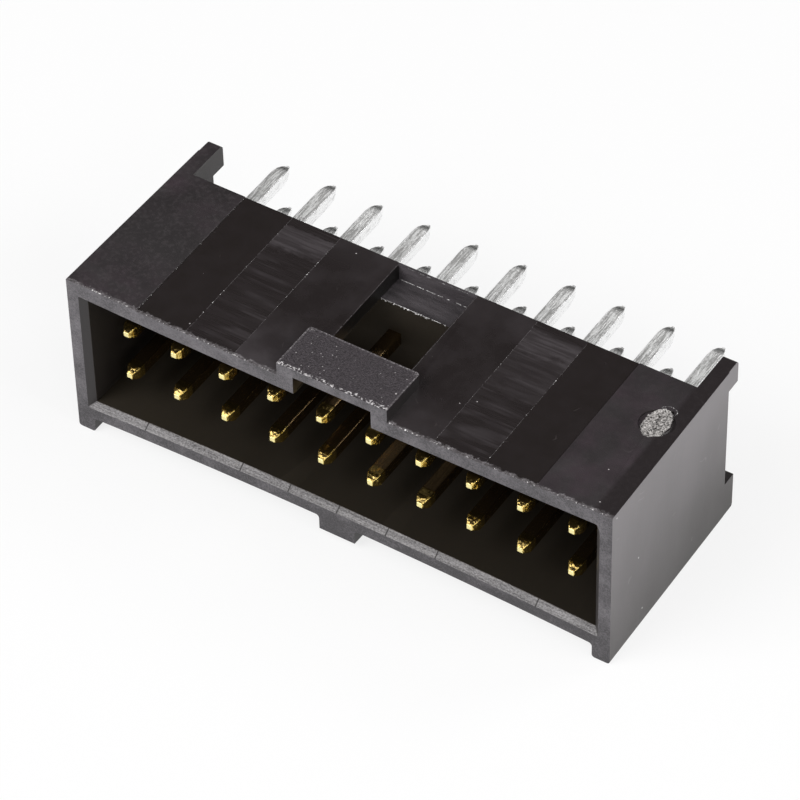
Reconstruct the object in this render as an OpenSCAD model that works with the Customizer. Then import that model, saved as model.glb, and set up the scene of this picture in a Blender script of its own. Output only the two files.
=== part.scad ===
// Box header for a flat-cable plug: two rows of ten square posts in a
// shrouded, keyed housing that stands off the board on its end walls.
// Lying pose: X runs along the rows, -Y is the plug side, +Y is the board
// side, and the long wall with the key slot is on top. The part rests on
// the feet and the rib of the other long wall.

/* [Contacts] */
// Distance between neighbouring posts, along and across the rows
pitch = 2.54; // [2.50:0.01:2.60]
// Side of the square post
post = 0.64; // [0.50:0.01:0.70]
// Post length between its front tip and the floor of the cavity
mate_len = 6.1; // [4.5:0.1:7.5]
// How far the front tips sit behind the rim
tip_recess = 0.8; // [0.3:0.1:2.0]
// Post length beyond the board seat
tail_len = 2.85; // [2.0:0.05:4.0]
// Length of the taper on the front tip
tip_taper = 0.42; // [0.3:0.02:0.6]
// Length of the taper on the solder tail
tail_taper = 0.75; // [0.5:0.05:1.0]
// Length of the sheared nib that ends the tail
nib_len = 0.14; // [0.08:0.01:0.20]

/* [Shell] */
// Height over the two long walls, feet left out
shell_h = 8.15; // [7.8:0.05:8.6]
// Thickness of the long walls
wall_t = 0.85; // [0.7:0.05:1.0]
// Thickness of the end walls at the rim
end_t = 0.89; // [0.75:0.02:1.1]
// Gap between the last post and the end wall
end_gap = 1.55; // [1.3:0.05:2.0]
// How much each end wall leans in from rim to board seat
draft = 0.17; // [0.0:0.01:0.3]
// Thickness of the floor that carries the posts
floor_t = 1.65; // [1.4:0.05:2.2]
// Flat width of the rim on the key wall
rim_key = 0.75; // [0.6:0.05:0.8]
// Flat width of the rim on the other three walls
rim_flat = 0.60; // [0.5:0.02:0.65]
// How far the middle of the key wall sits below its two ends
panel_drop = 0.04; // [0.00:0.01:0.10]
// Depth of the lead-in bevel round the mouth
lead_in = 0.30; // [0.1:0.05:0.6]
// How far the plain long wall bows in at the middle of the mouth
bow_plain = 0.33; // [0.05:0.01:0.40]
// How far the key wall bows in at the middle of the mouth
bow_key = 0.15; // [0.05:0.01:0.30]

/* [Key] */
// Width of the key slot
slot_w = 3.96; // [3.6:0.02:4.4]
// Web that closes the slot at the board side
web_t = 0.15; // [0.10:0.05:0.40]
// Width of the bridge over the mouth of the slot
bridge_w = 5.6; // [5.2:0.1:6.4]
// Depth of the bridge
bridge_d = 2.65; // [1.8:0.05:3.5]
// Height of the bridge over the key wall
bridge_rise = 0.53; // [0.40:0.01:0.80]
// Thickness of the bridge over the slot
bridge_t = 0.47; // [0.35:0.01:0.60]

/* [Stand] */
// Length of the end walls behind the floor
skirt_len = 1.5; // [0.8:0.1:2.5]
// Length of the four board feet beyond the end walls
seat_len = 0.85; // [0.5:0.05:1.2]
// Height of each board foot, measured from its long wall
seat_h = 1.22; // [0.8:0.02:1.6]
// How far the board feet stand back from the end faces
seat_inset = 0.03; // [0.00:0.01:0.10]
// Height of the rails under the plain long wall
rail_h = 0.8; // [0.5:0.05:1.0]
// Width of the middle rail
rail_w = 1.84; // [1.4:0.02:2.6]
// How far the middle rail rises towards the mouth
rail_lift = 0.32; // [0.0:0.01:0.40]

/* [Gate mark] */
// Diameter of the mark that the gate leaves on the key wall
gate_d = 1.62; // [1.00:0.02:2.00]
// Depth of the mark
gate_sink = 0.10; // [0.04:0.01:0.20]
// Place of the mark from the middle of the header
gate_x = 12.60; // [12.00:0.05:12.90]
// Place of the mark behind the rim
gate_back = 5.80; // [3.0:0.1:8.0]

/* [Hidden] */
columns = 10;
eps = 0.1;
// Slices of each bowed edge
bow_steps = 24;
// Corner rounding: board feet, rails, rail roots, bridge and mouth
seat_r = 0.22;
rail_r = 0.14;
root_r = 0.18;
bridge_r = 0.14;
mouth_r = 0.04;
// Along X
x_in = (columns - 1) / 2 * pitch + end_gap;
x_rim = x_in + end_t;
x_seat = x_rim - draft;
// Along Y, from the rim to the tail tips
depth = tip_recess + mate_len + floor_t + skirt_len + seat_len + tail_len;
y_rim = -depth / 2;
y_tip = y_rim + tip_recess;
y_floor = y_tip + mate_len;
y_back = y_floor + floor_t;
y_skirt = y_back + skirt_len;
y_seat = y_skirt + seat_len;
y_end = depth / 2;
// Along Z, from the rails up
z_wall = rail_h;
z_top = z_wall + shell_h;
z_mid = (z_wall + z_top) / 2;
z_in = z_wall + wall_t;
z_ceil = z_top - wall_t;
// Mouth opening at the rim
mouth_x = x_rim - rim_flat;
mouth_lo = z_wall + rim_flat;
mouth_hi = z_top - rim_key;
// Edge of the middle panel of the key wall
x_panel = 4 * pitch;
gate_y = y_rim + gate_back;

housing_c = "#2f2b2d";
contact_c = "#c9a545";

function arc(x, y, r, a0, a1, n = 4) =
    [for (i = [0:n]) let (a = a0 + (a1 - a0) * i / n)
        [x + r * cos(a), y + r * sin(a)]];
// Height of a wall's bow at x, as a share of its full bow
function bow(x) = max(0, 1 - pow(x / x_in, 2));
function bow_edge(half, rise, n = bow_steps) =
    [for (i = [0:n]) let (x = half * (2 * i / n - 1)) [x, rise * bow(x)]];
function flip(points) =
    [for (i = [len(points) - 1:-1:0]) points[i]];

// Turns an extrusion so that it runs along +Y with its outline in XZ
module along_y() mirror([0, 1, 0]) rotate([90, 0, 0]) children();
// Turns an extrusion so that it runs along +X with its outline in YZ
module along_x() rotate([90, 0, 90]) children();

// ---- Housing ----

// Half length of the block at y, narrower at the board seat
function half_at(y) = x_rim - draft * (y - y_rim) / (y_seat - y_rim);

// Plan of the whole block; the board feet are a little narrower
module plan() {
    side = [[x_rim, y_rim], [half_at(y_skirt), y_skirt],
        [half_at(y_skirt) - seat_inset, y_skirt],
        [x_seat - seat_inset, y_seat]];
    polygon(concat(side, [for (p = flip(side)) [-p[0], p[1]]]));
}

// Outline of the space beside a rounded bottom edge
module edge_outline(r) {
    polygon(concat([[-eps, -eps], [r, -eps]], arc(r, r, r, 270, 180),
        [[-eps, r]]));
}

// Cuts the bottom edges of the end rails round
module rail_edges() {
    lean = -draft / (y_seat - y_rim);
    long = y_seat - y_rim + 2 * eps;
    for (side = [0, 1]) mirror([side, 0, 0]) {
        translate([x_in, y_rim - eps, 0]) along_y()
            linear_extrude(long) edge_outline(rail_r);
        multmatrix([[1, lean, 0, x_rim - lean * y_rim], [0, 1, 0, 0],
                [0, 0, 1, 0], [0, 0, 0, 1]])
            translate([0, y_rim - eps, 0]) mirror([1, 0, 0]) along_y()
            linear_extrude(long) edge_outline(rail_r);
    }
}

// Outline of a fillet between a rail's side and the wall above it
module root_outline() {
    r = root_r;
    polygon(concat([[-r, 0.2], [-r, -r], [0, -r]],
        arc(r, -r, r, 180, 90), [[r, 0.2]]));
}

// Fillets at the roots of the middle rail, along the bowed wall, and of
// the end rails
module rail_roots() {
    fall = bow_plain / (y_back - y_rim + 2 * eps) * 0.98;
    half = rail_w / 2;
    for (side = [0, 1]) mirror([side, 0, 0]) {
        multmatrix([[1, 0, 0, half], [0, 1, 0, 0],
                [0, -fall, 1, z_wall + bow_plain + fall * y_rim],
                [0, 0, 0, 1]])
            translate([0, y_rim, 0]) along_y()
            linear_extrude(y_back - y_rim) root_outline();
        translate([x_in, y_rim, z_wall + 0.01]) mirror([1, 0, 0]) along_y()
            linear_extrude(y_back - y_rim) root_outline();
    }
}

// Side view of an end wall with its rail and its two board feet
module end_outline() {
    polygon(concat(
        [[y_rim, 0]],
        arc(y_seat - seat_r, seat_r, seat_r, -90, 0),
        [[y_seat, z_wall + seat_h], [y_skirt, z_wall + seat_h],
            [y_skirt, z_top - seat_h], [y_seat, z_top - seat_h]],
        arc(y_seat - seat_r, z_top - seat_r, seat_r, 0, 90),
        [[y_rim, z_top]]));
}

module end_walls() {
    intersection() {
        linear_extrude(z_top) plan();
        translate([-x_rim - eps, 0, 0]) along_x()
            linear_extrude(2 * (x_rim + eps)) end_outline();
        difference() {
            translate([-x_rim - eps, y_rim - eps, -eps])
                cube([2 * (x_rim + eps), depth, z_top + 2 * eps]);
            translate([-x_in, y_rim - 2 * eps, -2 * eps])
                cube([2 * x_in, depth + 2 * eps, z_top + 4 * eps]);
        }
    }
}

// Solid that fades from a bowed edge at the mouth to a plain one at `len`.
// It stands on z = 0 and reaches `under` below it.
module bow_wedge(rise, len, under) {
    edge = bow_edge(x_in, rise);
    along_y() linear_extrude(len, scale = [1, 0.02], slices = 1)
        polygon(concat([[x_in, -under], [-x_in, -under]], edge));
}

// The two long walls and the floor, before the cavity is cut
module tube() {
    reach = y_back - y_rim + 2 * eps;
    difference() {
        translate([-x_in - eps, y_rim, z_wall])
            cube([2 * (x_in + eps), y_back - y_rim, shell_h]);
        translate([0, y_rim - eps, z_wall])
            bow_wedge(bow_plain, reach, 0.6);
        translate([0, y_rim - eps, z_top]) mirror([0, 0, 1])
            bow_wedge(bow_key, reach, 0.6);
        // The wedge thins out with its bow, so this one starts thick enough
        // to clear the step at the back too
        intersection() {
            translate([0, y_rim - eps, z_top - panel_drop])
                mirror([0, 0, 1]) bow_wedge(bow_key, reach, 4);
            translate([-x_panel, y_rim - 2 * eps, z_top - 0.4])
                cube([2 * x_panel, reach + 2 * eps, 1]);
        }
    }
}

// Middle rail: rounded below, lifted a little towards the mouth
module middle_rail() {
    half = rail_w / 2;
    intersection() {
        translate([0, y_rim, 0]) along_y() linear_extrude(y_back - y_rim)
            polygon(concat(
                arc(-half + rail_r, rail_r, rail_r, 180, 270),
                arc(half - rail_r, rail_r, rail_r, 270, 360),
                [[half, z_in], [-half, z_in]]));
        translate([-half - eps, 0, 0]) along_x()
            linear_extrude(rail_w + 2 * eps)
            polygon([[y_rim, rail_lift], [y_floor, 0], [y_back, 0],
                [y_back, z_in - 0.2], [y_rim, z_in - 0.2]]);
    }
}

// Room for the plug; its long walls follow the bow of the shell
module cavity() {
    reach = y_floor - y_rim;
    difference() {
        translate([-x_in, y_rim - eps, z_in])
            cube([2 * x_in, reach + eps, z_ceil - z_in]);
        translate([0, y_rim - 2 * eps, z_in])
            bow_wedge(bow_plain, reach + 4 * eps, 0.3);
        translate([0, y_rim - 2 * eps, z_ceil]) mirror([0, 0, 1])
            bow_wedge(bow_key, reach + 4 * eps, 0.3);
    }
}

// Outline of the mouth at the rim, bowed like the walls
module mouth() {
    low = [for (p = bow_edge(x_in, bow_plain)) [p[0], mouth_lo + p[1]]];
    high = [for (p = bow_edge(x_in, bow_key)) [p[0], mouth_hi - p[1]]];
    r = mouth_r;
    polygon(concat(
        [[-mouth_x, mouth_lo + r], [-mouth_x + r, mouth_lo]],
        low,
        [[mouth_x - r, mouth_lo], [mouth_x, mouth_lo + r],
            [mouth_x, mouth_hi - 0.50], [mouth_x - 0.05, mouth_hi - 0.24],
            [mouth_x - 0.13, mouth_hi - 0.01]],
        flip(high),
        [[-mouth_x + r, mouth_hi], [-mouth_x, mouth_hi - r]]));
}

// Bevel that leads the plug in: the mouth outline shrinks to the cavity
module lead_in_cut() {
    kx = x_in / mouth_x;
    kz = (z_ceil - z_in) / (mouth_hi - mouth_lo);
    // Height that the shrinking leaves where it is
    z0 = (z_in - kz * mouth_lo) / (1 - kz);
    // The cut starts a little in front of the rim
    ahead = 0.05;
    gx = 1 + (1 - kx) * ahead / lead_in;
    gz = 1 + (1 - kz) * ahead / lead_in;
    translate([0, y_rim - ahead, z0]) along_y()
        linear_extrude(lead_in + ahead, scale = [kx / gx, kz / gz],
            slices = 1)
        scale([gx, gz]) translate([0, -z0]) mouth();
}

// Slot for the key of the plug, through the key wall and over the floor
module key_slot() {
    half = slot_w / 2;
    translate([-half, y_rim - eps, z_ceil - 0.6])
        cube([slot_w, y_floor - y_rim + eps, wall_t + 1]);
    translate([-half, y_rim - eps, z_ceil])
        cube([slot_w, y_back - web_t - y_rim + eps, wall_t + 1]);
}

// Raised strap that ties the two sides of the slot together at the rim
module bridge() {
    half = bridge_w / 2;
    low = z_top - 0.4;
    difference() {
        translate([0, 0, low]) linear_extrude(0.4 + bridge_rise)
            polygon(concat(
                [[-half, y_rim], [half, y_rim]],
                arc(half - bridge_r, y_rim + bridge_d - bridge_r,
                    bridge_r, 0, 90),
                arc(-half + bridge_r, y_rim + bridge_d - bridge_r,
                    bridge_r, 90, 180)));
        translate([-slot_w / 2, y_rim - eps, low - eps])
            cube([slot_w, bridge_d + 2 * eps,
                0.4 + eps + bridge_rise - bridge_t]);
    }
}

// Shallow round mark with the stub of the gate in it, and a torn notch
module gate_mark() {
    translate([gate_x, gate_y, z_top - gate_sink]) difference() {
        cylinder(d = gate_d, h = 1, $fn = 36);
        translate([0, 0, -eps]) cylinder(d1 = 0.94 * gate_d,
            d2 = 0.80 * gate_d, h = eps + 0.6 * gate_sink, $fn = 18);
    }
    translate([gate_x + 0.10, gate_y + 0.84, z_top - 1.8 * gate_sink])
        linear_extrude(1) polygon([[-0.26, -0.10], [-0.08, -0.16],
            [0.14, -0.12], [0.26, 0.02], [0.16, 0.14], [-0.06, 0.10],
            [-0.20, 0.04]]);
}

module post_holes() {
    for (col = [1:columns], row = [0:1])
        translate([post_x(col) - post / 2, y_floor - eps,
                post_z(row) - post / 2])
            cube([post, floor_t + 2 * eps, post]);
}

module housing() {
    color(housing_c) {
        difference() {
            union() {
                tube();
                end_walls();
                middle_rail();
                rail_roots();
            }
            rail_edges();
            gate_mark();
            cavity();
            lead_in_cut();
            key_slot();
            post_holes();
        }
        bridge();
    }
}

// ---- Contacts ----

function post_x(col) = (col - (columns + 1) / 2) * pitch;
// Row 0 is next to the key wall, row 1 next to the plain one
function post_z(row) = z_mid + (0.5 - row) * pitch;

// Half side of the post along its length
function post_outline() = let (h = post / 2, n = y_end - nib_len) [
    [y_tip, 0.42 * h],
    [y_tip + 0.24 * tip_taper, 0.60 * h],
    [y_tip + 0.60 * tip_taper, 0.84 * h],
    [y_tip + tip_taper, h],
    [n - tail_taper, h],
    [n - 0.55 * tail_taper, 0.88 * h],
    [n - 0.22 * tail_taper, 0.66 * h],
    [n, 0.42 * h],
    [n, 0.30 * h],
    [y_end, 0.26 * h]];

module post_side(points) {
    mirrored = [for (p = flip(points)) [p[0], -p[1]]];
    polygon(concat(points, mirrored));
}

// Square post, coined to a tip at the plug side and sheared at the tail
module contact(col, row) {
    side = post_outline();
    color(contact_c) translate([post_x(col), 0, post_z(row)])
        intersection() {
            translate([-post, 0, 0]) along_x()
                linear_extrude(2 * post) post_side(side);
            translate([0, 0, -post]) linear_extrude(2 * post)
                mirror([1, 0]) rotate(90) post_side(side);
        }
}

module pin_01() contact(1, 0);
module pin_02() contact(1, 1);
module pin_03() contact(2, 0);
module pin_04() contact(2, 1);
module pin_05() contact(3, 0);
module pin_06() contact(3, 1);
module pin_07() contact(4, 0);
module pin_08() contact(4, 1);
module pin_09() contact(5, 0);
module pin_10() contact(5, 1);
module pin_11() contact(6, 0);
module pin_12() contact(6, 1);
module pin_13() contact(7, 0);
module pin_14() contact(7, 1);
module pin_15() contact(8, 0);
module pin_16() contact(8, 1);
module pin_17() contact(9, 0);
module pin_18() contact(9, 1);
module pin_19() contact(10, 0);
module pin_20() contact(10, 1);

housing();
pin_01();
pin_02();
pin_03();
pin_04();
pin_05();
pin_06();
pin_07();
pin_08();
pin_09();
pin_10();
pin_11();
pin_12();
pin_13();
pin_14();
pin_15();
pin_16();
pin_17();
pin_18();
pin_19();
pin_20();
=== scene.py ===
import math
import random

import bmesh
import bpy
from mathutils import Matrix, Vector, noise


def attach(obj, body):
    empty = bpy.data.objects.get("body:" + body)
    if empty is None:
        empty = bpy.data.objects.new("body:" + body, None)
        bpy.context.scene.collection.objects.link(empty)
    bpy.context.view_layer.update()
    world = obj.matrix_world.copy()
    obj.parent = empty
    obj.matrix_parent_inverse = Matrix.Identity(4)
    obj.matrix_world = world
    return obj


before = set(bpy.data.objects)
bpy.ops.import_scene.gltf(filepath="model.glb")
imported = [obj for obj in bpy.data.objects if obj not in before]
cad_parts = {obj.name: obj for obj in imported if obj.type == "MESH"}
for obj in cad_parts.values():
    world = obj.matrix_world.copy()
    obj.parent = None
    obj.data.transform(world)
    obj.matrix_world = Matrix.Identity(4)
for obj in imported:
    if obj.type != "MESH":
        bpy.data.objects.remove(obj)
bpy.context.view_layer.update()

MM = 0.001

# ---------------------------------------------------------------- places on the part, in mm
PITCH = 2.54
Z_TOP = 8.95            # top of the key wall at its two ends
Z_BRIDGE = 9.48         # top of the bridge over the key slot
Y_RIM = -6.875          # face of the mouth
Y_FLOOR = 0.025         # front of the floor that carries the posts
Y_BACK = 1.675          # back of that floor
X_END = 13.87           # end faces at the rim
X_INNER = 12.98         # inner faces of the end walls
X_OUTER = (13.4, 13.5)  # only the end faces lie beyond these
Z_CAVITY = (1.6, 8.12)  # the cavity lies between these
Z_LEADIN = (2.2, 2.1)   # the plain wall's lead-in bevel lies below these
SLOT_HALF = 1.98        # half the width of the key slot
Z_SLOT = 8.10           # bottom of the key slot behind the cavity
WEB = 0.15              # thickness of the web that closes the slot at the board side
BRIDGE_HALF = 2.8       # half the width of the bridge
BRIDGE_DEEP = 2.65      # depth of the bridge
Y_BRIDGE = Y_RIM + BRIDGE_DEEP  # back of the bridge
BOW_KEY = 0.15          # how far the key wall bows in at the rim
PANEL_DROP = 0.04       # how far its middle sits below its two ends
X_PLAIN = 2 * PITCH     # outer edges of the plain,
X_STREAKED = 3 * PITCH  # the streaked
X_GLOSSY = 4 * PITCH    # and the glossy panels of the key wall; the end bands follow
GATE_X, GATE_Y = 12.60, -1.075  # middle of the gate mark
TIP_END = -5.35         # where the coined tips of the posts end
TIN_FROM = 0.8          # where the plating changes, inside the floor
TAIL_TAPER = 6.20       # where the solder tails are well into their taper
NIB = 6.70              # where their sheared nibs start

# The share of its normal that a face needs along an axis to begin to count as facing that
# way, and to count fully; the rounded upper edges, which get a painted highlight, have a share
# along Z within the second pair
FACING = (0.90, 0.96)
PAINTED_HIGHLIGHT_EDGE = (0.30, 0.93)

# ---------------------------------------------------------------- patterns and colours
# Noise patterns: features a millimetre, octaves, stretch and offset along x, y and z,
# roughness, and the two ends of the noise that are spread over 0 to 1
PATTERNS = {
    # general finish of the housing
    "mottle": dict(scale=0.45, detail=3.0),
    "tint": dict(scale=0.9, detail=2.0, offset=(8, 3, 1)),
    "cloud": dict(scale=1.4, detail=4.0, offset=(5, 2, 0), rough=0.6),
    "grain": dict(scale=13.0, detail=2.0, rough=0.6, ends=(0.30, 0.70)),
    "pebble": dict(scale=5.0, detail=4.0, offset=(3, 1, 2), rough=0.7, ends=(0.48, 0.66)),
    "drift": dict(scale=0.9, detail=2.0, offset=(2, 6, 3)),
    "skin": dict(scale=16.0, detail=1.0),
    # worn lips and torn edges
    "lip": dict(scale=4.5, detail=3.0, rough=0.7),
    "torn": dict(scale=8.0, detail=3.0, rough=0.75, ends=(0.50, 0.60)),
    "torn_grain": dict(scale=12.0, detail=2.0),
    # tool marks and haze of the streaked panels
    "haze_broad": dict(scale=1.7, detail=3.0, stretch=(6, 1, 1), offset=(3, 0, 0),
                       ends=(0.50, 0.68)),
    "haze_fine": dict(scale=5.5, detail=3.0, stretch=(12, 1, 1), offset=(0, 7, 0), rough=0.7,
                      ends=(0.44, 0.66)),
    "haze_sharp": dict(scale=4.5, detail=1.0, stretch=(22, 1, 1), offset=(6, 2, 0),
                       ends=(0.52, 0.64)),
    "haze_patches": dict(scale=0.9, detail=1.0, stretch=(2, 1, 1), offset=(1, 8, 0),
                         ends=(0.44, 0.58)),
    "haze_edge": dict(scale=1.3, detail=4.0, stretch=(1.6, 1, 1), offset=(2, 0, 0), rough=0.65),
    # rubbed haze of the plain panels
    "smudge": dict(scale=0.55, detail=4.0, offset=(1.3, 0.4, 0), rough=0.6, ends=(0.40, 0.70)),
    # floor of the key slot and its web
    "slot_streaks": dict(scale=3.0, detail=3.0, stretch=(6, 1, 1)),
    # end faces
    "scuff_broad": dict(scale=0.35, detail=3.0, stretch=(1, 1, 1.8), offset=(4, 0, 0)),
    "scuff_fine": dict(scale=9.0, detail=3.0, stretch=(1, 1, 14), offset=(1, 3, 0), rough=0.7),
    # lead-in bevel
    "leadin_lines": dict(scale=7.0, detail=2.0, stretch=(30, 1, 1), rough=0.7),
    "leadin_grit": dict(scale=20.0, detail=2.0, stretch=(2, 1, 1), rough=0.7),
    # contacts
    "drawn": dict(scale=11.0, detail=3.0, stretch=(1, 14, 1), rough=0.7, ends=(0.38, 0.62)),
    "gritty": dict(scale=16.0, detail=2.0, stretch=(1, 2, 1), rough=0.7),
    "spots": dict(scale=3.0, detail=3.0, stretch=(1, 2, 1), offset=(2, 5, 0),
                  ends=(0.55, 0.75)),
    "coined": dict(scale=2.2, detail=2.0),
}
NOISE_ENDS = (0.34, 0.66)

# sRGB colours of surfaces with one tone
COLOURS = {
    "shell": (40, 36, 36),
    "band_dark": (35, 31, 32),
    "band_grey": (48, 43, 45),
    "band_purple": (50, 39, 45),
    # darker as a painted reflection along the right edge of the key wall
    "band_left": (37, 33, 34),
    "strip": (36, 31, 32),
    "bridge_side": (26, 22, 22),
    "slot_wall": (14, 12, 11),
    "core_seam": (40, 37, 37),
    # the torn lips of the bridge and of the key wall, partly a painted highlight, and a painted
    # highlight along the bridge's sides, back and corners
    "bridge_lip": (226, 222, 223),
    "bridge_highlight_line": (138, 133, 135),
    "deck_lip": (128, 124, 126),
    "deck_hair": (92, 86, 86),
    "end_hair": (150, 147, 148),
    "pebble": (88, 82, 84),
    "end_speck": (210, 207, 207),
    "dust": (196, 191, 191),
    "tin_side": (252, 252, 252),
    "tin_spot": (150, 149, 147),
}

# sRGB colours of surfaces that vary, from their darkest to their lightest tone
RANGES = {
    "glossy": ((32, 27, 26), (36, 31, 31)),
    "plain": ((33, 28, 28), (60, 55, 57)),
    "streaked": ((34, 29, 29), (64, 59, 61)),
    "bridge": ((32, 27, 30), (74, 68, 72)),
    "slot": ((42, 38, 40), (70, 65, 68)),
    "web": ((58, 53, 56), (82, 77, 80)),
    # painted light: the cavity is lighter towards its left end, where it lies in shade
    "inside": ((14, 11, 7), (30, 26, 20)),
    "front": ((54, 51, 54), (114, 110, 114)),
    "leadin": ((52, 49, 50), (158, 155, 156)),
    "end": ((44, 40, 38), (117, 113, 115)),
    # painted highlights on the rounded edges of the bridge and of the front
    "painted_highlight_bridge": ((70, 66, 68), (215, 212, 212)),
    "painted_highlight_front": ((74, 71, 73), (205, 202, 202)),
    # torn plastic, the palest also a painted highlight along the edges
    "torn_pale_and_highlight": ((120, 117, 117), (246, 244, 244)),
    "torn_dull": ((52, 47, 48), (96, 91, 93)),
    "gate_plastic": ((30, 27, 26), (190, 186, 183)),
    "tin": ((176, 175, 174), (255, 255, 254)),
    "tin_taper": ((96, 96, 94), (176, 176, 174)),
}

# Linear colours: the gold by part of the post and by the way the face looks, darker on the
# body and, as painted shade, on faces that look up or to the side; and the tint of the light
# that the inside gives back
GOLD_BODY_SHADED = (0.60, 0.41, 0.13, 1)
GOLD_BODY_UP_SHADED = (0.18, 0.12, 0.06, 1)
GOLD_BODY_SIDE_SHADED = (0.28, 0.19, 0.08, 1)
GOLD_TIP = (1.0, 0.88, 0.42, 1)
GOLD_TIP_SIDE_SHADED = (0.95, 0.70, 0.20, 1)
GOLD_TIP_UP_SHADED = (0.38, 0.27, 0.09, 1)
WHITE = (1, 1, 1, 1)
WARM = (1.0, 0.86, 0.70, 1)

# Roughness of the housing's surfaces: a number, or the two ends that a pattern runs between
ROUGH_SHELL = 0.45
ROUGH = {
    "end_band": (0.50, 0.62),
    "strip": 0.35,
    "glossy": 0.24,
    "plain": (0.26, 0.42),
    "streaked": (0.26, 0.5),
    "bridge": 0.62,
    "bridge_side": 0.4,
    "slot": 0.55,
    "slot_wall": 0.4,
    "inside": 0.7,
    "front": 0.5,
    "leadin": 0.55,
    "end": 0.45,
}
PLASTIC_IOR = 1.52

# The contacts: how metallic and how rough the gold and the tin are
METALLIC_BODY, METALLIC_TIP = 0.965, 0.985
METALLIC_TIN, METALLIC_TIN_SIDE, METALLIC_TIN_TAPER = 0.36, 1.0, 0.9
ROUGH_GOLD = 0.12
ROUGH_TIN = (0.42, 0.28)    # between the drawing marks, and on them
ROUGH_TIN_SIDE, ROUGH_TIN_TAPER = 0.12, 0.28
POST_ROUNDING = 0.07        # mm that the light sees of the posts' rounded edges

# Height of the finest reliefs, in mm
RELIEF_SKIN, RELIEF_GRAIN = 0.012, 0.02
RELIEF_DRAWN, RELIEF_COINED = 0.010, 0.024


# ---------------------------------------------------------------- shader nodes
class Nodes:
    """A node tree with short ways to add and join nodes."""

    def __init__(self, tree):
        self.tree = tree

    def add(self, kind, **values):
        node = self.tree.nodes.new(kind)
        for key, value in values.items():
            setattr(node, key, value)
        return node

    def put(self, value, socket):
        if isinstance(value, bpy.types.NodeSocket):
            self.tree.links.new(value, socket)
        else:
            socket.default_value = value

    def math(self, op, a, b=0.0, c=0.0):
        node = self.add("ShaderNodeMath", operation=op)
        for value, socket in zip((a, b, c), node.inputs):
            self.put(value, socket)
        return node.outputs[0]


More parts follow.
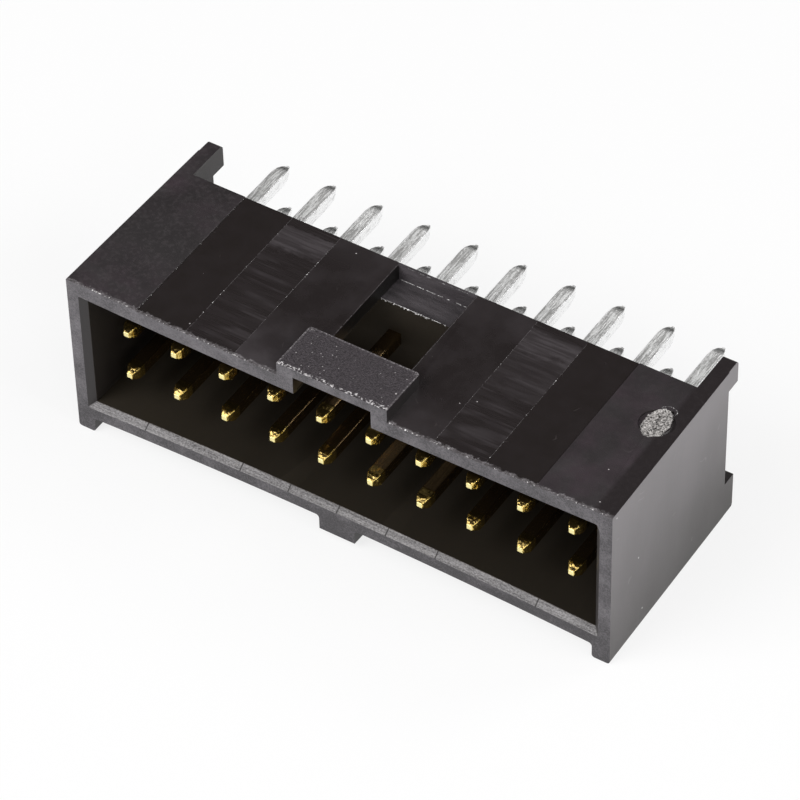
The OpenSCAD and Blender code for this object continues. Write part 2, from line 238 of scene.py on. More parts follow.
class Shader(Nodes):
    """A Principled material whose masks and patterns are measured in millimetres."""

    def __init__(self, name):
        self.mat = bpy.data.materials.new(name)
        self.mat.use_nodes = True
        super().__init__(self.mat.node_tree)
        self.tree.nodes.clear()
        out = self.add("ShaderNodeOutputMaterial")
        self.bsdf = self.add("ShaderNodeBsdfPrincipled")
        self.put(self.bsdf.outputs[0], out.inputs[0])
        self.place()

    def place(self):
        """x, y and z of the shading point in millimetres, and its flat normal's x, y and z."""
        coords = self.add("ShaderNodeTexCoord")
        scale = self.add("ShaderNodeVectorMath", operation="SCALE")
        self.put(coords.outputs["Object"], scale.inputs[0])
        scale.inputs["Scale"].default_value = 1.0 / MM
        self.point = scale.outputs[0]
        split = self.add("ShaderNodeSeparateXYZ")
        self.put(self.point, split.inputs[0])
        self.x, self.y, self.z = split.outputs
        geometry = self.add("ShaderNodeNewGeometry")
        split = self.add("ShaderNodeSeparateXYZ")
        self.put(geometry.outputs["True Normal"], split.inputs[0])
        self.nx, self.ny, self.nz = split.outputs
        self.ax = self.math("ABSOLUTE", self.x)

    def set(self, name, value):
        """Gives an input of the Principled shader its value or its link."""
        self.put(value, self.bsdf.inputs[name])

    def step(self, value, start, end):
        """0 at start, 1 at end and a straight ramp between; start may be the higher one."""
        node = self.add("ShaderNodeMapRange", clamp=True)
        self.put(value, node.inputs["Value"])
        node.inputs["From Min"].default_value = start
        node.inputs["From Max"].default_value = end
        return node.outputs[0]

    def between(self, value, low, high, soft=0.01):
        """1 where value lies from low to high, with ramps soft wide at both ends."""
        up = self.step(value, low - soft / 2, low + soft / 2)
        down = self.step(value, high + soft / 2, high - soft / 2)
        return self.times(up, down)

    def fold(self, op, values):
        """The values joined one after another by a maths node."""
        total, *rest = values
        for value in rest:
            total = self.math(op, total, value)
        return total

    def times(self, *values):
        return self.fold("MULTIPLY", values)

    def plus(self, *values):
        return self.fold("ADD", values)

    def most(self, *values):
        return self.fold("MAXIMUM", values)

    def noise(self, scale, detail, stretch=(1, 1, 1), offset=(0, 0, 0), rough=0.5):
        """A noise of about scale features a millimetre, stretched along the axes."""
        mapping = self.add("ShaderNodeMapping")
        self.put(self.point, mapping.inputs["Vector"])
        mapping.inputs["Scale"].default_value = [1.0 / s for s in stretch]
        mapping.inputs["Location"].default_value = offset
        node = self.add("ShaderNodeTexNoise")
        self.put(mapping.outputs[0], node.inputs["Vector"])
        node.inputs["Scale"].default_value = scale
        node.inputs["Detail"].default_value = detail
        node.inputs["Roughness"].default_value = rough
        return node.outputs[0]

    def pattern(self, name):
        """One of the noise patterns, spread so that it fills the range from 0 to 1."""
        values = dict(PATTERNS[name])
        ends = values.pop("ends", NOISE_ENDS)
        return self.step(self.noise(**values), *ends)

    def join(self, kind, share, a, b):
        node = self.add("ShaderNodeMix", data_type=kind)
        for name, value in (("Factor", share), ("A", a), ("B", b)):
            self.put(value, node.inputs[name])
        return node.outputs["Result"]

    def mix(self, share, a, b):
        """Colour a where share is 0 and b where it is 1."""
        return self.join("RGBA", share, a, b)

    def blend(self, share, a, b):
        """Number a where share is 0 and b where it is 1."""
        return self.join("FLOAT", share, a, b)

    def tone(self, name, share):
        """A surface's colour: its darkest tone where share is 0, its lightest where it is 1."""
        dark, light = RANGES[name]
        return self.mix(share, srgb(*dark), srgb(*light))

    def coats(self, mix, value, *coats):
        """A value with coats laid over it in turn, each a mask and the value that it brings."""
        for share, coat in coats:
            value = mix(share, value, coat)
        return value

    def bump(self, height, distance, normal=None):
        """A normal that follows height, where 1 stands distance millimetres proud."""
        node = self.add("ShaderNodeBump")
        node.inputs["Strength"].default_value = 1.0
        node.inputs["Distance"].default_value = distance * MM
        self.put(height, node.inputs["Height"])
        if normal is not None:
            self.put(normal, node.inputs["Normal"])
        return node.outputs[0]


def srgb(red, green, blue):
    """An sRGB colour of 0 to 255 as a linear colour."""
    def linear(v):
        v /= 255
        return v / 12.92 if v <= 0.04045 else ((v + 0.055) / 1.055) ** 2.4
    return (linear(red), linear(green), linear(blue), 1.0)


def colour(name):
    return srgb(*COLOURS[name])


# ---------------------------------------------------------------- housing
def specks(s, scale, share, size, offset=(0, 0, 0)):
    """Small grains: share of the cells of a scattered pattern, each a dot of the given size."""
    mapping = s.add("ShaderNodeMapping")
    s.put(s.point, mapping.inputs["Vector"])
    mapping.inputs["Location"].default_value = offset
    cells = s.add("ShaderNodeTexVoronoi", feature="F1")
    s.put(mapping.outputs[0], cells.inputs["Vector"])
    cells.inputs["Scale"].default_value = scale
    split = s.add("ShaderNodeSeparateColor")
    s.put(cells.outputs["Color"], split.inputs[0])
    chosen = s.math("LESS_THAN", split.outputs[0], share)
    return s.times(chosen, s.step(cells.outputs["Distance"], size, size * 0.5))


def hairlines(s, scale, width, share):
    """Hairline scratches: level lines of a noise, kept in patches that cover about share."""
    finer, soft = 1.9, 0.05     # the scale of the patches against the lines', and their fade
    field = s.noise(scale, 1.0)
    line = s.step(s.math("ABSOLUTE", s.math("SUBTRACT", field, 0.5)), width * scale, 0.0)
    patch = s.step(s.noise(finer * scale, 0.0, offset=(9, 4, 1)), 1 - share, 1 + soft - share)
    return s.times(line, patch)


def regions(s):
    """Masks of the housing's surfaces that the mould finished differently or that are torn, and
    of the edges that get a painted highlight.
    """
    up = s.step(s.nz, *FACING)
    forward = s.step(s.ny, -FACING[0], -FACING[1])
    sideways = s.step(s.math("ABSOLUTE", s.nx), *FACING)
    highlight_edge = s.between(s.nz, *PAINTED_HIGHLIGHT_EDGE)
    deck = s.times(up, s.between(s.z, Z_TOP - 0.4, Z_TOP + 0.1))
    bridge = s.times(up, s.step(s.z, Z_BRIDGE - 0.2, Z_BRIDGE - 0.1))
    slot = s.times(s.step(s.ax, SLOT_HALF + 0.01, SLOT_HALF - 0.01),
                   s.step(s.z, Z_SLOT - 0.2, Z_SLOT - 0.15),
                   s.step(s.y, Y_FLOOR - 0.05, Y_FLOOR),
                   s.step(s.ny, 0.5, 0.4))
    # a wavy line behind the front edges, torn and partly a painted highlight, and a line of
    # painted highlight along the sides, the back and the corners of the bridge
    wavy = s.plus(s.y, s.math("MULTIPLY_ADD", s.pattern("lip"), 0.18, -0.09))
    line = s.most(s.step(s.ax, BRIDGE_HALF - 0.09, BRIDGE_HALF - 0.06),
                  s.step(s.y, Y_BRIDGE - 0.09, Y_BRIDGE - 0.06),
                  s.times(s.step(s.ax, BRIDGE_HALF - 0.32, BRIDGE_HALF - 0.16),
                          s.step(s.y, Y_BRIDGE - 0.32, Y_BRIDGE - 0.16)))
    return {
        "end_band": s.times(deck, s.step(s.ax, X_GLOSSY - 0.02, X_GLOSSY + 0.02)),
        "strip": s.times(deck, s.step(s.x, X_INNER - 0.15, X_INNER + 0.07)),
        "glossy": s.times(deck, s.between(s.ax, X_STREAKED, X_GLOSSY)),
        "streaked": s.times(deck, s.between(s.ax, X_PLAIN, X_STREAKED)),
        "plain": s.times(deck, s.step(s.ax, X_PLAIN + 0.02, X_PLAIN - 0.02)),
        "bridge": bridge,
        "bridge_side": s.times(sideways, s.between(s.ax, BRIDGE_HALF - 0.1, BRIDGE_HALF + 0.1),
                               s.step(s.z, Z_TOP - 0.3, Z_TOP - 0.2)),
        "slot": slot,
        "slot_wall": s.times(sideways, s.between(s.ax, SLOT_HALF - 0.1, SLOT_HALF + 0.1),
                             s.step(s.z, Z_SLOT - 0.2, Z_SLOT - 0.1)),
        "inside": s.times(s.between(s.z, *Z_CAVITY),
                          s.step(s.ax, X_INNER + 0.02, X_INNER - 0.02),
                          s.between(s.y, Y_RIM + 0.28, Y_FLOOR + 0.02)),
        "front": s.times(forward, s.step(s.y, Y_RIM + 0.1, Y_RIM + 0.05)),
        "leadin": s.times(s.step(s.nz, 0.3, 0.5), s.step(s.z, *Z_LEADIN),
                          s.step(s.y, Y_RIM + 0.33, Y_RIM + 0.28)),
        "end": s.times(sideways, s.step(s.ax, *X_OUTER)),
        "web": s.times(slot, forward),
        "bridge_lip": s.times(bridge, s.step(wavy, Y_RIM + 0.20, Y_RIM + 0.13)),
        "bridge_highlight_line": s.times(bridge, line),
        "deck_lip": s.times(deck, s.step(wavy, Y_RIM + 0.20, Y_RIM + 0.12)),
        # the rounded edges of the bridge's top and of the front, which get a painted highlight
        "painted_highlight_bridge": s.times(highlight_edge, s.step(s.z, Z_BRIDGE - 0.08, Z_BRIDGE - 0.06)),
        "painted_highlight_front": s.times(highlight_edge, s.step(s.ny, -0.2, -0.3),
                              s.step(s.y, Y_RIM + 0.09, Y_RIM + 0.07),
                              s.step(s.z, Z_TOP - 0.4, Z_TOP - 0.3)),
    }


def panel_haze(s, cloud):
    """Haze and tool marks that run along X on the two streaked panels."""
    fine = s.pattern("haze_fine")
    marks = s.most(s.times(s.pattern("haze_broad"), 0.5), s.times(fine, 0.35))
    sharp = s.times(s.pattern("haze_sharp"), s.pattern("haze_patches"))
    # a veil over the rear third of both panels, and a fainter one over more of the right one
    ragged = s.plus(s.y, s.times(s.pattern("haze_edge"), -0.9))
    rear = s.times(s.step(ragged, -0.95, -0.35),
                   s.step(s.plus(s.y, s.times(cloud, 0.12)), 1.27, 1.19))
    right = s.times(s.step(s.x, 0, 1), s.step(ragged, -3.6, -2.9), s.step(s.y, 1.3, 1.0))
    veil = s.most(s.times(rear, 0.56), s.times(right, 0.22))
    return s.plus(s.times(veil, s.math("MULTIPLY_ADD", fine, 0.9, 0.75)),
                  s.times(marks, 0.36), s.times(sharp, 0.40))


def panel_smudge(s):
    """Hand-rubbed haze on the plain panels: strongest beside the bridge's left end."""
    cloud = s.pattern("smudge")
    left = s.times(s.step(s.x, 0, -1), s.step(s.y, -3.4, -6.4))
    right = s.times(s.step(s.x, 0, 1), s.step(s.y, -4.2, -6.6))
    rear = s.step(s.y, -0.2, 1.2)
    veil = s.plus(s.times(left, s.math("MULTIPLY_ADD", cloud, 0.55, 0.45)),
                  s.times(right, 0.25), s.times(rear, 0.22))
    return s.plus(veil, s.times(cloud, 0.34))


def core_seams(s):
    """Seams between the blocks of the mould's core, where they cross the lead-in bevel."""
    half = 0.03
    places = [count * PITCH for count in (-4, -2, -1, 0, 1, 2, 4)]
    return s.most(*(s.between(s.x, x - half, x + half, soft=half) for x in places))


def front_light(s, grain):
    """How light the rim is: grained, with painted shade that darkens it to the right and at the
    bottom.
    """
    return s.plus(s.times(grain, 0.6), s.times(s.pattern("drift"), 0.4),
                  s.times(s.step(s.x, -8, 13), -0.2), s.times(s.step(s.z, 2.6, 1.2), -0.36))


def leadin_light(s):
    """How light the lead-in bevel is: grit over fine lines along it."""
    return s.plus(s.times(s.pattern("leadin_lines"), 0.4),
                  s.times(s.pattern("leadin_grit"), 0.6))


def end_light(s):
    """How light the end faces are: painted light and shade, lighter towards the top and the
    back, over a little scuffing.
    """
    tall = s.step(s.z, 0.3, 8.6)
    foot = s.times(s.math("SUBTRACT", 1.0, tall),
                   s.math("MULTIPLY_ADD", s.step(s.y, 1.5, -6.5), 0.20, 0.01))
    shoulder = s.times(s.step(s.y, -3.5, 1.0), s.step(s.z, 3.5, 8.0), 0.20)
    scuff = s.plus(s.times(s.pattern("scuff_broad"), 0.12),
                   s.times(s.pattern("scuff_fine"), 0.03))
    return s.plus(s.plus(s.times(tall, 0.85), foot, shoulder), s.plus(scuff, -0.07))


def dust(s, r):
    """Pale grains: coarse and fine ones on the bridge, and a few on the key wall."""
    coarse = specks(s, scale=2.2, share=0.12, size=0.12, offset=(7, 3, 0))
    fine = specks(s, scale=6.0, share=0.25, size=0.20)
    few = specks(s, scale=1.6, share=0.13, size=0.06, offset=(4, 1, 0))
    wall = s.plus(r["end_band"], r["streaked"], r["plain"], r["glossy"])
    return s.plus(s.times(r["bridge"], s.times(fine, 0.7)), s.times(r["bridge"], coarse),
                  s.times(wall, few))


def housing_material():
    """Black plastic: every surface with its own tones, wear and roughness, and painted
    highlights and shade on some.
    """
    s = Shader("housing_plastic")
    r = regions(s)
    mottle, cloud, grain = s.pattern("mottle"), s.pattern("cloud"), s.pattern("grain")
    streaks, torn = s.pattern("slot_streaks"), s.pattern("torn")
    haze, smudge = panel_haze(s, cloud), panel_smudge(s)

    band = s.mix(mottle, colour("band_dark"),
                 s.mix(s.pattern("tint"), colour("band_grey"), colour("band_purple")))
    left = s.times(r["end_band"], s.step(s.x, 0, -1), s.between(s.y, -4.2, -0.9, soft=2.0))
    base = s.coats(
        s.mix, colour("shell"),
        (r["end_band"], band),
        (left, colour("band_left")),
        # painted dark reflection along the right edge of the key wall
        (r["strip"], colour("strip")),
        (r["glossy"], s.tone("glossy", cloud)),
        (r["plain"], s.tone("plain", smudge)),
        (r["streaked"], s.tone("streaked", haze)),
        (r["bridge"], s.tone("bridge", grain)),
        (r["bridge_side"], colour("bridge_side")),
        (r["slot"], s.tone("slot", streaks)),
        (r["web"], s.tone("web", streaks)),
        (r["slot_wall"], colour("slot_wall")),
        # painted light: the cavity is lighter towards its left end, where it lies in shade
        (r["inside"], s.tone("inside", s.step(s.x, -5, -12))),
        # the rim's tone carries painted shade, darker to the right and at the bottom
        (r["front"], s.tone("front", front_light(s, grain))),
        (r["leadin"], s.tone("leadin", leadin_light(s))),
        (s.times(r["leadin"], core_seams(s)), colour("core_seam")),
        # the end faces' tone carries painted light and shade
        (r["end"], s.tone("end", end_light(s))),
        # the torn lips, partly a painted highlight, and the painted highlight along the bridge's
        # edges
        (s.times(r["bridge_lip"], torn), colour("bridge_lip")),
        (s.times(r["bridge_highlight_line"], s.blend(torn, 0.15, 0.9)), colour("bridge_highlight_line")),
        (s.times(r["deck_lip"], s.blend(torn, 0.35, 1.0)), colour("deck_lip")),
        # painted highlights on the rounded edges
        (r["painted_highlight_bridge"], s.tone("painted_highlight_bridge", torn)),
        (r["painted_highlight_front"], s.tone("painted_highlight_front", torn)))

    # marks of handling over all of these
    hair = hairlines(s, scale=0.7, width=0.014, share=0.30)
    handled = s.plus(r["plain"], r["glossy"], r["end_band"])
    pebbled = s.times(s.pattern("pebble"), r["end_band"],
                      s.blend(s.step(s.x, -5, 5), 0.20, 0.07))
    end_specks = specks(s, scale=1.2, share=0.12, size=0.06, offset=(2, 7, 1))
    s.set("Base Color", s.coats(
        s.mix, base,
        (s.times(hair, s.times(handled, 0.22)), colour("deck_hair")),
        (s.times(hair, s.times(r["end"], 0.3)), colour("end_hair")),
        (pebbled, colour("pebble")),
        (s.times(r["end"], end_specks), colour("end_speck")),
        (dust(s, r), colour("dust"))))

    shares = {"end_band": mottle, "plain": smudge, "streaked": haze}
    s.set("Roughness", s.coats(s.blend, ROUGH_SHELL, *(
        (r[name], s.blend(shares[name], *rough) if name in shares else rough)
        for name, rough in ROUGH.items())))
    s.set("IOR", PLASTIC_IOR)
    s.set("Specular Tint", s.mix(r["inside"], WHITE, WARM))

    matte = s.plus(s.times(r["end_band"], 0.25), r["bridge"], r["front"], r["slot"])
    skin = s.bump(s.times(s.pattern("skin"), s.blend(matte, 0.08, 1.0)), RELIEF_SKIN)
    grained = s.plus(r["bridge"], r["leadin"], s.times(r["front"], 0.5))
    s.set("Normal", s.bump(s.times(grain, grained), RELIEF_GRAIN, normal=skin))
    return s.mat


def torn_material(name, roughness):
    """Torn plastic: the housing's own colour, made paler where it was stressed; the palest tone
    also stands in for a painted highlight on the edges.
    """
    s = Shader(name)
    s.set("Base Color", s.tone(name, s.pattern("torn_grain")))
    s.set("Roughness", roughness)
    s.set("IOR", PLASTIC_IOR)
    return s.mat


# ---------------------------------------------------------------- small moulded and torn details
UP = Vector((0, 0, 1))
EDGE_SEED, GATE_SEED = 7, 3
SKIN = 0.004            # details start or stay this far under the faces that they stand on
NEAR_EDGE = 0.006       # chips on the bridge's sharp edges start this far inside them
NEAR_BEND = 0.02        # and chips on rounded edges this far
CORNER = 0.12           # the chips of the bridge's front edge stop this far from its ends
CHIP_SIZES = (0.45, 0.6, 0.75, 1.0, 1.3, 1.7)

# Chips: how many a millimetre, and their size
PALE_FRONT, PALE_BRIDGE = (20, 0.042), (6, 0.030)
DULL_FRONT, DULL_BRIDGE = (24, 0.055), (7, 0.040)
PALE_RIGHT, PALE_SILL = (4, 0.035), (22, 0.035)

# How much denser the chips are on the bridge's front edge and on its back corners, and how
# much larger on both
FRONT_DENSER, CORNER_DENSER, COARSER = 1.8, 12, 1.6

# Chips along the front of the key wall: from x, to x and their share of the full density
FRONT_SPANS = (
    (-X_END, -BRIDGE_HALF, 1.0),
    (BRIDGE_HALF, 7.0, 0.6),
    (7.0, X_END, 0.4),
)

# Single chips along the edges of the panels: x, from y, to y, their number and their size
FRONT, BACK = Y_RIM + 0.1, Y_BACK - 0.1
PANEL_CHIPS = (
    (-X_GLOSSY, FRONT, BACK, 26, 0.040),
    (-X_STREAKED, FRONT, BACK, 18, 0.040),
    (-X_PLAIN, FRONT, BACK, 24, 0.040),
    (X_PLAIN, FRONT, BACK, 18, 0.040),
    (X_STREAKED, FRONT, BACK, 20, 0.040),
    (-X_PLAIN, -1.3, -0.75, 9, 0.045),
)

# Flash along the edges of the panels: x and the share of it that is missing
PANEL_FLASH = (
    (-X_STREAKED, 0.12),
    (-X_PLAIN, 0.12),
    (X_PLAIN, 0.12),
    (X_STREAKED, 0.12),
    (-X_GLOSSY - 0.02, 0.2),
)

# Flash across the key slot: y, z, height and the share of it that is missing
SLOT_FLASH = (
    (Y_FLOOR + 0.03, Z_SLOT, 0.02, 0.25),
    (Y_BACK - WEB - 0.03, Z_SLOT, 0.03, 0.35),
    (Y_BACK - WEB + 0.02, Z_TOP - PANEL_DROP - 0.01, 0.01, 0.5),
)


def deck_height(x, y):
    """Top of the key wall at x and y, with its bow and its lower middle."""
    least, past = 0.02, 0.1     # the bow fades to this share, over a little more than the wall
    bow = BOW_KEY * max(0.0, 1 - (x / X_INNER) ** 2)
    fade = max(least, 1 - (1 - least) * (y - Y_RIM + past) / (Y_BACK - Y_RIM + 2 * past))
    return Z_TOP - (PANEL_DROP if abs(x) < X_GLOSSY else 0.0) - bow * fade


def piece(name, bm, material):
    """Makes a mesh drawn in millimetres into a piece of the housing."""
    mesh = bpy.data.meshes.new(name)
    bm.to_mesh(mesh)
    bm.free()
    mesh.transform(Matrix.Scale(MM, 4))
    mesh.materials.append(material)
    obj = bpy.data.objects.new(name, mesh)
    bpy.context.collection.objects.link(obj)
    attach(obj, "root")


def keep_in(co):
    """A point moved back to the end faces, or to just under the rim's and bridge's faces."""
    return Vector((min(max(co.x, -X_END), X_END), max(co.y, Y_RIM + SKIN),
                   min(co.z, Z_BRIDGE - SKIN)))


def ridge(bm, rng, start, end, width, height, floor_at=None, gap=0.0):
    """A fine irregular ridge of flash from start to end; floor_at gives the surface under it."""
    pace, sunk = 0.12, Vector((0, 0, 0.01))
    start, end = Vector(start), Vector(end)
    way = (end - start).normalized()
    side = way.cross(UP).normalized()
    count = max(2, int((end - start).length / pace))
    last = None
    for i in range(count + 1):
        at = start.lerp(end, i / count)
        z = floor_at(at.x, at.y) if floor_at else at.z
        tall = height * rng.uniform(0.35, 1.0)
        wide = width * rng.uniform(0.6, 1.0) / 2
        off = side * rng.uniform(-0.15, 0.15) * width
        ring = [bm.verts.new(keep_in(Vector((at.x, at.y, z)) + off + v)) for v in
                (-side * wide - sunk, Vector((0, 0, tall)), side * wide - sunk)]
        if last and rng.random() > gap:
            bm.faces.new((last[0], last[1], ring[1], ring[0]))
            bm.faces.new((last[1], last[2], ring[2], ring[1]))
        last = ring


def chip(bm, rng, at, out, along, size):
    """One torn grain: a low irregular pyramid that stands out of the edge at `at`."""
    longer, rooted = 1.5, 0.35
    across = out.cross(along).normalized()
    count = rng.randint(4, 6)
    rim = []
    for i in range(count):
        angle = 2 * math.pi * (i + rng.uniform(-0.3, 0.3)) / count
        reach = size * rng.uniform(0.5, 1.0)
        point = (at + along * math.cos(angle) * reach * longer
                 + across * math.sin(angle) * reach)
        rim.append(bm.verts.new(keep_in(point - out * size * rooted)))
    tall, lean = rng.uniform(0.25, 0.8), rng.uniform(-0.5, 0.5)
    tip = bm.verts.new(keep_in(at + out * size * tall + along * size * lean))
    for i in range(count):
        bm.faces.new((rim[i], rim[(i + 1) % count], tip))


def chipped_edge(bm, rng, start, end, out, density, size, height_at=None):
    """Grains scattered in clusters along an edge; density is in grains a millimetre."""
    start, end = Vector(start), Vector(end)
    along = (end - start).normalized()
    out = Vector(out).normalized()
    length = (end - start).length
    phase = rng.uniform(0, 10)
    short, long = 2.1, 0.83             # waves of the clusters, in radians a millimetre
    least, more, sunk = 0.35, 0.65, 0.012
    for _ in range(int(length * density)):
        t = rng.random()
        waves = math.sin(phase + short * t * length) * math.sin(2 * phase + long * t * length)
        cluster = 0.5 + 0.5 * waves
        if rng.random() > least + more * cluster:
            continue
        at = start.lerp(end, t)
        if height_at:
            at.z = height_at(at.x, at.y)
        at -= out * sunk
        chip(bm, rng, at, out, along, size * rng.choice(CHIP_SIZES))


def scattered(bm, rng, start, end, count, size):
    """A few chips at random places along a line on the key wall."""
    for _ in range(count):
        at = Vector(start).lerp(Vector(end), rng.random())
        at.z = deck_height(at.x, at.y) - SKIN
        chip(bm, rng, at, UP, Vector((0, 1, 0)), size * rng.uniform(0.5, 1.2))


def front_edges(bm, rng, density, size):
    """Chips along the front edges of the key wall and of the bridge."""
    out = (0, -0.7, 0.7)
    y = Y_RIM + NEAR_BEND
    for left, right, share in FRONT_SPANS:
        chipped_edge(bm, rng, (left, y, 0), (right, y, 0), out, share * density, size,
                     deck_height)
    x, y, z = BRIDGE_HALF - CORNER, Y_RIM + NEAR_EDGE, Z_BRIDGE - NEAR_EDGE
    chipped_edge(bm, rng, (-x, y, z), (x, y, z), out, FRONT_DENSER * density,
                 COARSER * size)


def bridge_edges(bm, rng, density, size):
    """Chips along the sides, the back and the back corners of the bridge."""
    z = Z_BRIDGE - NEAR_EDGE
    back = Y_BRIDGE - NEAR_EDGE
    short, near, far = 0.1, 0.03, 0.16   # the sides stop short; the corners are cut across
    for side in (-1, 1):
        x = side * (BRIDGE_HALF - NEAR_EDGE)
        chipped_edge(bm, rng, (x, Y_RIM + short, z), (x, back - short, z), (side, 0, 1),
                     density, size)
        chipped_edge(bm, rng, (x - side * far, back - near, z),
                     (x - side * near, back - far, z), (side, 1, 1),
                     CORNER_DENSER * density, COARSER * size)
    chipped_edge(bm, rng, (-BRIDGE_HALF, back, z), (BRIDGE_HALF, back, z), (0, 1, 1),
                 density, size)


def pale_chips(bm, rng):
    """The palest grains, torn plastic that also gives a painted highlight: along every moulded
    edge that shows, and on the panels' edges.
    """
    front_edges(bm, rng, *PALE_FRONT)
    bridge_edges(bm, rng, *PALE_BRIDGE)
    x, y = X_END - NEAR_BEND, Y_RIM + NEAR_BEND
    chipped_edge(bm, rng, (x, y, 0.3), (x, y, 8.6), (0.7, -0.7, 0), *PALE_RIGHT)
    chipped_edge(bm, rng, (-SLOT_HALF, Y_FLOOR, Z_SLOT), (SLOT_HALF, Y_FLOOR, Z_SLOT),
                 (0, -0.7, 0.7), *PALE_SILL)
    for y, z, tall, gap in SLOT_FLASH:
        ridge(bm, rng, (-SLOT_HALF, y, z), (SLOT_HALF, y, z), 0.04, tall, gap=gap)
    for x, front, back, count, size in PANEL_CHIPS:
        scattered(bm, rng, (x, front, 0), (x, back, 0), count, size)


def dull_chips(bm, rng):
    """Larger and duller grains between the pale ones."""
    front_edges(bm, rng, *DULL_FRONT)
    bridge_edges(bm, rng, *DULL_BRIDGE)


def parting_lines(bm, rng):
    """Fine flash where the mould's inserts meet on the key wall, and beside the slot."""
    front, back = Y_RIM + 0.06, Y_BACK - 0.04
    width, height, slot_height = 0.05, 0.012, 0.015
    for x, gap in PANEL_FLASH:
        ridge(bm, rng, (x, front, 0), (x, back, 0), width, height, deck_height, gap)
    for side in (-1, 1):
        x = side * (SLOT_HALF + 0.035)
        ridge(bm, rng, (x, Y_BRIDGE + 0.05, 0), (x, back, 0), width, slot_height,
              deck_height, 0.05)


def edge_details(pale, dull):
    """Chips in two tones along the moulded edges, the pale ones partly a painted highlight, and
    the fine flash of the parting lines.
    """
    rng = random.Random(EDGE_SEED)
    for name, draw, material in (("edge_chips", pale_chips, pale),
                                 ("edge_grain", dull_chips, dull),
                                 ("parting_lines", parting_lines, dull)):
        bm = bmesh.new()
        draw(bm, rng)
        piece(name, bm, material)


def gate_stub(bm, rng):
    """The rough stub that the gate left: rings of lumpy ground round a centre."""
    rings, spokes = 12, 48
    half_wide, half_long = 0.61, 1.0
    ragged, shift_x, shift_y = 0.06, 0.02, 0.03
    lump_scale, lump_height, grit, foot = 5, 0.06, 0.02, -0.10
    grid = []
    for i in range(rings + 1):
        row = []
        for j in range(spokes):
            angle = 2 * math.pi * j / spokes
            reach = (i / rings) * (1 + (ragged * rng.uniform(-1, 1) if i == rings else 0))
            x = GATE_X + half_wide * reach * math.cos(angle) + rng.uniform(-shift_x, shift_x)
            y = GATE_Y + half_long * reach * math.sin(angle) + rng.uniform(-shift_y, shift_y)
            lumps = noise.fractal(Vector((lump_scale * x, lump_scale * y, 0)), 0.8, 2.0, 3)
            # the outermost ring goes down into the housing
            lift = lump_height * lumps + rng.uniform(-grit, grit) if i < rings else foot
            # the innermost ring only takes its share of the draws: the centre replaces it
            row.append(bm.verts.new((x, y, Z_TOP + lift)) if i else None)
        grid.append(row)
    centre = bm.verts.new((GATE_X, GATE_Y, Z_TOP))
    for j in range(spokes):
        k = (j + 1) % spokes
        bm.faces.new((centre, grid[1][j], grid[1][k]))
        for i in range(1, rings):
            bm.faces.new((grid[i][j], grid[i + 1][j], grid[i + 1][k], grid[i][k]))


def gate_rim(bm, rng):
    """The torn rim of the notch behind the stub."""
    count, first, sweep = 30, -50, 240   # chips, and the degrees where they start and run on
    sunk, size = 0.005, 0.035
    notch_x, notch_y = GATE_X + 0.10, GATE_Y + 0.90
    half_wide, half_long = 0.36, 0.24
    for i in range(count):
        angle = math.radians(first + sweep * i / (count - 1))
        at = Vector((notch_x + half_wide * math.cos(angle),
                     notch_y + half_long * math.sin(angle), Z_TOP - sunk))
        chip(bm, rng, at, UP, Vector((1, 0, 0)), size * rng.uniform(0.6, 1.3))


def gate_mark(stub_material, rim_material):
    """The torn stub of the mould's gate and the notch beside it."""
    rng = random.Random(GATE_SEED)
    for name, draw, material in (("gate_stub", gate_stub, stub_material),
                                 ("gate_rim", gate_rim, rim_material)):
        bm = bmesh.new()
        draw(bm, rng)
        piece(name, bm, material)


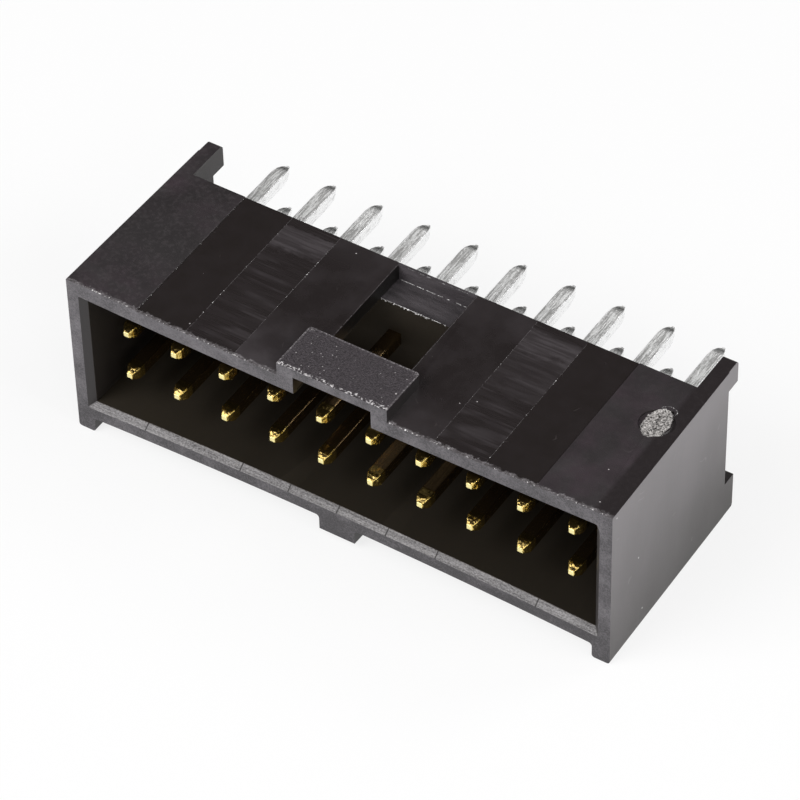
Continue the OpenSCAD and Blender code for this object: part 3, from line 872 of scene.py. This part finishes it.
# ---------------------------------------------------------------- contacts
def contact_material():
    """Gold flash with a coined tip, then tin with drawing marks and a dark tapered end."""
    s = Shader("contact_plating")
    # where the tin, the tip and the taper lie, and the faces that look sideways and up
    tin = s.step(s.y, TIN_FROM, TIN_FROM + 0.4)
    tip = s.step(s.y, TIP_END + 0.1, TIP_END)
    taper = s.times(s.step(s.y, TAIL_TAPER, TAIL_TAPER + 0.35), s.step(s.y, NIB + 0.05, NIB),
                    s.step(s.nz, 0.3, 0.6))
    side = s.step(s.math("ABSOLUTE", s.nx), 0.75, 0.9)
    level = s.step(s.nz, 0.55, 0.75)
    drawn, gritty = s.pattern("drawn"), s.pattern("gritty")

    wire = s.step(s.plus(s.times(drawn, 0.65), s.times(gritty, 0.35)), 0.25, 0.75)
    silver = s.coats(s.mix, s.tone("tin", wire),
                     (side, colour("tin_side")),
                     (s.times(s.pattern("spots"), 0.35), colour("tin_spot")),
                     (taper, s.tone("tin_taper", gritty)))
    # painted shade: the gold is darker on the body and on the faces that look up or to the side
    body = s.coats(s.mix, GOLD_BODY_SHADED, (level, GOLD_BODY_UP_SHADED), (side, GOLD_BODY_SIDE_SHADED))
    coined = s.mix(level, s.mix(s.step(s.nx, 0.3, 0.6), GOLD_TIP, GOLD_TIP_SIDE_SHADED),
                   GOLD_TIP_UP_SHADED)
    s.set("Base Color", s.mix(tin, s.mix(tip, body, coined), silver))
    s.set("Metallic", s.blend(
        tin, s.blend(tip, METALLIC_BODY, METALLIC_TIP),
        s.coats(s.blend, METALLIC_TIN, (side, METALLIC_TIN_SIDE), (taper, METALLIC_TIN_TAPER))))
    s.set("Roughness", s.blend(
        tin, ROUGH_GOLD,
        s.coats(s.blend, s.blend(drawn, *ROUGH_TIN), (side, ROUGH_TIN_SIDE),
                (taper, ROUGH_TIN_TAPER))))

    rounded = s.add("ShaderNodeBevel")
    rounded.inputs["Radius"].default_value = POST_ROUNDING * MM
    marks = s.times(drawn, s.blend(tin, 0.25, 1.0))
    lines = s.bump(marks, RELIEF_DRAWN, normal=rounded.outputs[0])
    s.set("Normal", s.bump(s.times(s.pattern("coined"), tip), RELIEF_COINED, normal=lines))
    return s.mat


HOUSING_EDGE, POST_EDGE = 0.05, 0.03    # rounding of the CAD nodes' edges, in mm
EDGE_SEGMENTS = 2
EDGE_ANGLE = 25                         # edges that turn by more degrees are rounded
WELD_WITHIN = 0.0005                    # mm


def dress(obj, material, width):
    """Gives a CAD node its material and rounds its edges, width in millimetres."""
    for slot in obj.material_slots:
        slot.material = material
    weld = obj.modifiers.new("weld", "WELD")
    weld.merge_threshold = WELD_WITHIN * MM
    bevel = obj.modifiers.new("edges", "BEVEL")
    bevel.width = width * MM
    bevel.segments = EDGE_SEGMENTS
    bevel.limit_method = "ANGLE"
    bevel.angle_limit = math.radians(EDGE_ANGLE)
    bevel.harden_normals = True
    bevel.use_clamp_overlap = True


plastic = housing_material()
pale = torn_material("torn_pale_and_highlight", roughness=0.4)
dull = torn_material("torn_dull", roughness=0.55)
stub = torn_material("gate_plastic", roughness=0.5)
plating = contact_material()
for name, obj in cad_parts.items():
    if name == "housing":
        dress(obj, plastic, HOUSING_EDGE)
    else:
        dress(obj, plating, POST_EDGE)
edge_details(pale, dull)
gate_mark(stub, pale)

# ---------------------------------------------------------------- floor, light and camera
FLOOR_SIZE = 4.0                             # metres
FLOOR_DROP = 0.02                            # mm under the part, so that no faces coincide
PAPER = (0.86, 0.86, 0.86, 1)
GLOW_SEEN, GLOW_MIRRORED = 0.8, 0.7          # share of the paper's own white in each view
SKY_TOP = (0.0, -0.6, 0.8)                   # the way the brightest part of the room lies
SKY = {"From Min": 0.1, "From Max": 1.0, "To Min": 0.06, "To Max": 0.45}

# Area lamps: name, azimuth and elevation in degrees, distance and side in metres, radiance
LAMPS = (
    ("key", -30, 42, 0.45, 0.30, 5.6),
    ("side", 95, 30, 0.50, 0.30, 4.2),
    ("kick", 145, 44, 0.45, 0.14, 5.0),
    ("front", 48, 34, 0.45, 0.10, 8.0),
)
LAMP_AIM = 4.5                               # mm over the floor

CAMERA_AT = (0.077782, -0.118656, 0.143101)  # metres
CAMERA_WAY = (33.607, 44.654)                # azimuth and elevation in degrees
CAMERA_ROLL = -1.478                         # degrees
SENSOR, LENS = 36, 202.53                    # mm
CLIP = (0.01, 20)                            # metres


def direction(azimuth, elevation):
    """Unit vector; azimuth 0 is in front of the mouth and 90 at its right end."""
    az, el = math.radians(azimuth), math.radians(elevation)
    return Vector((math.sin(az) * math.cos(el), -math.cos(az) * math.cos(el), math.sin(el)))


def stage():
    """White paper with its own brightness for the camera and mirrors, and its shadow kept."""
    bpy.ops.mesh.primitive_plane_add(size=FLOOR_SIZE, location=(0, 0, -FLOOR_DROP * MM))
    floor = bpy.context.object
    floor.name = "floor"
    mat = bpy.data.materials.new("floor_paper")
    mat.use_nodes = True
    n = Nodes(mat.node_tree)
    n.tree.nodes.clear()
    out = n.add("ShaderNodeOutputMaterial")
    paper = n.add("ShaderNodeBsdfDiffuse")
    paper.inputs["Color"].default_value = PAPER
    glow = n.add("ShaderNodeEmission")
    glow.inputs["Strength"].default_value = 1.0
    path = n.add("ShaderNodeLightPath")
    seen = n.math("MULTIPLY", path.outputs["Is Camera Ray"], GLOW_SEEN)
    mirrored = n.math("MULTIPLY", path.outputs["Is Glossy Ray"], GLOW_MIRRORED)
    both = n.add("ShaderNodeMixShader")
    n.put(n.math("MAXIMUM", seen, mirrored), both.inputs[0])
    n.put(paper.outputs[0], both.inputs[1])
    n.put(glow.outputs[0], both.inputs[2])
    n.put(both.outputs[0], out.inputs[0])
    floor.data.materials.append(mat)


def sky():
    """A dim room that is lighter above and in front; white where the camera sees it."""
    world = bpy.data.worlds.new("studio")
    bpy.context.scene.world = world
    world.use_nodes = True
    n = Nodes(world.node_tree)
    path = n.add("ShaderNodeLightPath")
    coords = n.add("ShaderNodeTexCoord")
    facing = n.add("ShaderNodeVectorMath", operation="DOT_PRODUCT")
    n.put(coords.outputs["Generated"], facing.inputs[0])
    n.put(SKY_TOP, facing.inputs[1])
    ramp = n.add("ShaderNodeMapRange", interpolation_type="SMOOTHSTEP")
    n.put(facing.outputs["Value"], ramp.inputs["Value"])
    for name, value in SKY.items():
        n.put(value, ramp.inputs[name])
    tone = n.math("MAXIMUM", ramp.outputs[0], path.outputs["Is Camera Ray"])
    n.put(tone, n.tree.nodes["Background"].inputs["Color"])


def softbox(name, azimuth, elevation, distance, size, radiance):
    """A square area lamp that faces the part."""
    way = direction(azimuth, elevation)
    data = bpy.data.lights.new(name, "AREA")
    data.shape = "SQUARE"
    data.size = size
    data.energy = radiance * math.pi * size * size
    lamp = bpy.data.objects.new(name, data)
    bpy.context.collection.objects.link(lamp)
    lamp.location = way * distance + Vector((0, 0, LAMP_AIM * MM))
    lamp.rotation_euler = way.to_track_quat("Z", "Y").to_euler()


def camera():
    """The fitted camera of the photo."""
    data = bpy.data.cameras.new("camera")
    data.sensor_width = SENSOR
    data.lens = LENS
    data.clip_start, data.clip_end = CLIP
    cam = bpy.data.objects.new("camera", data)
    bpy.context.collection.objects.link(cam)
    roll = Matrix.Rotation(math.radians(CAMERA_ROLL), 3, "Z")
    turn = direction(*CAMERA_WAY).to_track_quat("Z", "Y").to_matrix() @ roll
    cam.matrix_world = Matrix.Translation(CAMERA_AT) @ turn.to_4x4()
    bpy.context.scene.camera = cam


stage()
sky()
for lamp in LAMPS:
    softbox(*lamp)
camera()
bpy.context.scene.view_settings.view_transform = "Standard"
